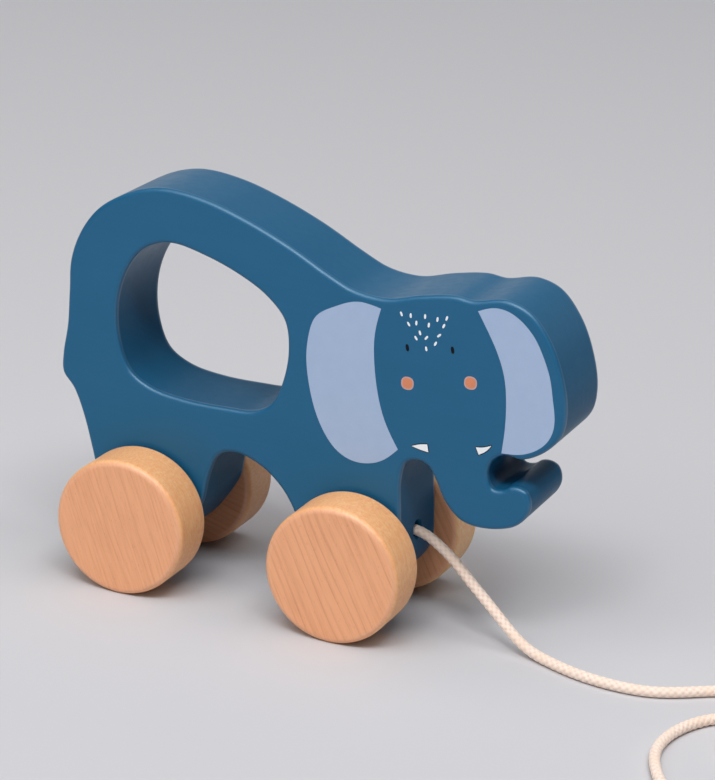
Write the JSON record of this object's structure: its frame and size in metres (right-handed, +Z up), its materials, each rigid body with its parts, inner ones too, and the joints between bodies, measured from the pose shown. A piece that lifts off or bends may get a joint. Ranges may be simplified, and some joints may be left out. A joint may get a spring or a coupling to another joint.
{
  "type": "pull-along toy",
  "caption": "Wooden pull-along elephant: a painted slab body with a carrying handle hole, on plain turned wheels, with a cotton pull cord.",
  "frame": {"origin": "on the floor under the middle of the bounding box of the toy without its cord", "axes": "+X along the toy towards the elephant's head, +Y across it towards the far side, +Z up"},
  "size_m": [0.2781, 0.1176, 0.1308],
  "materials": {
    "blue_paint": "satin painted wood",
    "lilac_print": "matt printed paint",
    "white_print": "matt printed paint",
    "coral_print": "matt printed paint",
    "black_print": "matt printed paint",
    "beech": "sanded beech with a thin clear finish",
    "beech_dowel": "plain beech dowel",
    "cotton_cord": "braided cotton"
  },
  "bodies": {
    "chassis": {"body": "blue_paint", "pull_cord": "cotton_cord", "cord_coil": "cotton_cord", "cord_tail": "cotton_cord", "pull_bead": "beech", "end_knot": "cotton_cord"},
    "front_wheelset": {"front_axle": "beech_dowel", "front_wheel_near": "beech", "front_wheel_far": "beech"},
    "rear_wheelset": {"rear_axle": "beech_dowel", "rear_wheel_near": "beech", "rear_wheel_far": "beech"}
  },
  "joints": [
    {"name": "front_axle_spin", "type": "hinge", "parent": "chassis", "child": "front_wheelset", "pos_m": [0.0204, 0, 0.0225], "axis": [0, 1, 0], "continuous": true},
    {"name": "rear_axle_spin", "type": "hinge", "parent": "chassis", "child": "rear_wheelset", "pos_m": [-0.0538, 0, 0.0225], "axis": [0, 1, 0], "continuous": true}
  ]
}
